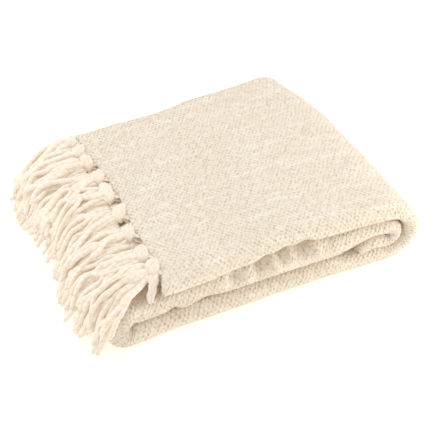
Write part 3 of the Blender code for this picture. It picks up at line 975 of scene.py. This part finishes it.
def tip_span(row, number):
    """Where along the row the tips of a tassel start and end: halfway to the tassels beside it."""
    halfway = [(near.y + far.y) / 2.0 for near, far in zip(row.knots, row.knots[1:])]
    edges = [row.tip_from, *halfway, row.tip_to]
    return edges[number], edges[number + 1]


def add_gather(tubes, row, number, centre, half_y, draw):
    """Yarns that come out of the cloth's end and gather at a knot."""
    first, last = tip_span(row, number)
    start_x = CLOTH_END_X + GATHER_INSIDE
    share = np.linspace(0.0, 1.0, GATHER_STEPS)
    for layer in GATHER_LAYERS:
        for step in np.linspace(-1.0, 1.0, GATHER_YARNS):
            start_y = min(max(centre[1] + step * (last - first) * GATHER_SPREAD, GATHER_FROM), GATHER_TO)
            start_z = row.root_z + GATHER_RISE - GATHER_DROP * layer
            end_y = centre[1] + step * half_y * GATHER_CLOSE
            x = start_x + (centre[0] - start_x) * share
            y = start_y + (end_y - start_y) * smooth(share, GATHER_BEND, 1.0)
            z = start_z + (centre[2] - start_z) * share**2 + draw.uniform(-GATHER_STRAY, GATHER_STRAY)
            radius = GATHER_RADIUS * draw.uniform(*GATHER_SIZES)
            radii = radius * smooth(share, GATHER_BEND, GATHER_GROWN)
            tubes.add(np.stack([x, y, z], -1), radii, YARN_SIDES, seed=draw.uniform(*SEEDS))


def make_tassel(row, number, material):
    """A knot with its clumps of yarns and the yarns that gather at it, as one piece."""
    draw = random.Random(f"{row.name} {number}")
    tubes = Tubes()
    knot = row.knots[number]
    half_x, half_y, half_z = row.head
    half_y *= knot.size
    centre_z = row.root_z + draw.uniform(-KNOT_STRAY, KNOT_STRAY)
    centre = (CLOTH_END_X - KNOT_BACK * half_x - knot.out, knot.y, centre_z)
    add_knot(tubes, centre, (half_x, half_y, half_z), draw)
    add_gather(tubes, row, number, centre, half_y, draw)
    first, last = tip_span(row, number)
    for clump in range(row.clumps):
        lane = (clump + 0.5) / row.clumps - 0.5
        layer = (clump % 2) * UPPER_CLUMP + draw.uniform(0.0, CLUMP_STRAY)
        root_y = knot.y + lane * half_y * ROOT_SPREAD
        tip_y = (first + last) / 2.0 + lane * (last - first) * TIP_SPREAD
        add_clump(tubes, row, root_y, tip_y + draw.uniform(-TIP_STRAY, TIP_STRAY), layer, draw)
    if row is UPPER_ROW and number == 0:
        add_front_tail(tubes, draw)
    name = f"{row.name}_{number + 1}"
    piece = shown(name, tubes.mesh(name), material)
    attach(piece, "root")
    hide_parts(f"{row.name.replace('fringe', 'tassel')}_{number + 1}")
    return piece


def add_front_tail(tubes, draw):
    """The loose yarns of the front knot hang down beside the end of the cloth."""
    share = np.linspace(0.0, 1.0, YARN_STEPS)
    for step in np.linspace(-0.5, 0.5, TAIL_YARNS):
        line = curve(TAIL_PATH, share * draw.uniform(*TAIL_LENGTHS))
        line[:, 0] += step * TAIL_WIDE * (1.0 - TAIL_CLOSE * share) + sway(share, draw, TAIL_SWAY)
        line[:, 1] += draw.uniform(*TAIL_STRAY)
        add_yarn(tubes, line, YARN_RADIUS * draw.uniform(*TAIL_SIZES), draw)


def make_camera():
    """The camera stands where the photo's stood."""
    tilt, turn = math.radians(CAMERA_ELEVATION), math.radians(CAMERA_AZIMUTH)
    back = Vector((math.sin(turn) * math.cos(tilt), -math.cos(turn) * math.cos(tilt), math.sin(tilt)))
    right = Vector((math.cos(turn), math.sin(turn), 0.0))
    up = back.cross(right)
    place = Vector(CAMERA_TARGET) - Vector(ORIGIN) + back * CAMERA_DISTANCE
    camera = bpy.data.cameras.new("camera")
    camera.lens = CAMERA_LENS
    camera.sensor_width = SENSOR
    camera.clip_start, camera.clip_end = CAMERA_CLIP
    eye = bpy.data.objects.new("camera", camera)
    turned = Matrix((right, up, back)).transposed().to_4x4()
    eye.matrix_world = Matrix.Translation(place) @ turned
    bpy.context.scene.collection.objects.link(eye)
    bpy.context.scene.camera = eye


def add_light(name, place, size, power, colour):
    """A round lamp that points at the middle of the floor."""
    data = bpy.data.lights.new(name, "AREA")
    data.shape = "DISK"
    data.size = size
    data.energy = power
    data.color = colour
    light = bpy.data.objects.new(name, data)
    light.location = place
    light.rotation_euler = (-Vector(place)).to_track_quat("-Z", "Y").to_euler()
    bpy.context.scene.collection.objects.link(light)


def make_studio():
    """A wide pale floor, even light from all around and the lamps."""
    mesh = bpy.data.meshes.new("floor")
    corners = [(FLOOR_REACH * x, FLOOR_REACH * y, 0.0) for x, y in ((-1, -1), (1, -1), (1, 1), (-1, 1))]
    mesh.from_pydata(corners, [], [(0, 1, 2, 3)])
    floor = bpy.data.objects.new("floor", mesh)
    bpy.context.scene.collection.objects.link(floor)
    nodes = Nodes("pale_floor")
    nodes.set_shader(Base_Color=FLOOR_GREY, Roughness=FLOOR_ROUGHNESS)
    nodes.set_shader(Emission_Color=FLOOR_COLOUR, Emission_Strength=FLOOR_GLOW)
    mesh.materials.append(nodes.material)
    world = bpy.data.worlds.new("studio")
    world.use_nodes = True
    world.node_tree.nodes["Background"].inputs["Color"].default_value = SKY_COLOUR
    world.node_tree.nodes["Background"].inputs["Strength"].default_value = SKY
    bpy.context.scene.world = world
    bpy.context.scene.view_settings.view_transform = "Standard"
    for lamp in LAMPS:
        add_light(*lamp)


make_camera()
make_studio()
cloth = make_cloth(cloth_material())
yarn = yarn_material()
places = [(row, number) for row in (UPPER_ROW, LOWER_ROW) for number in range(len(row.knots))]
tassels = [make_tassel(row, number, yarn) for row, number in places]
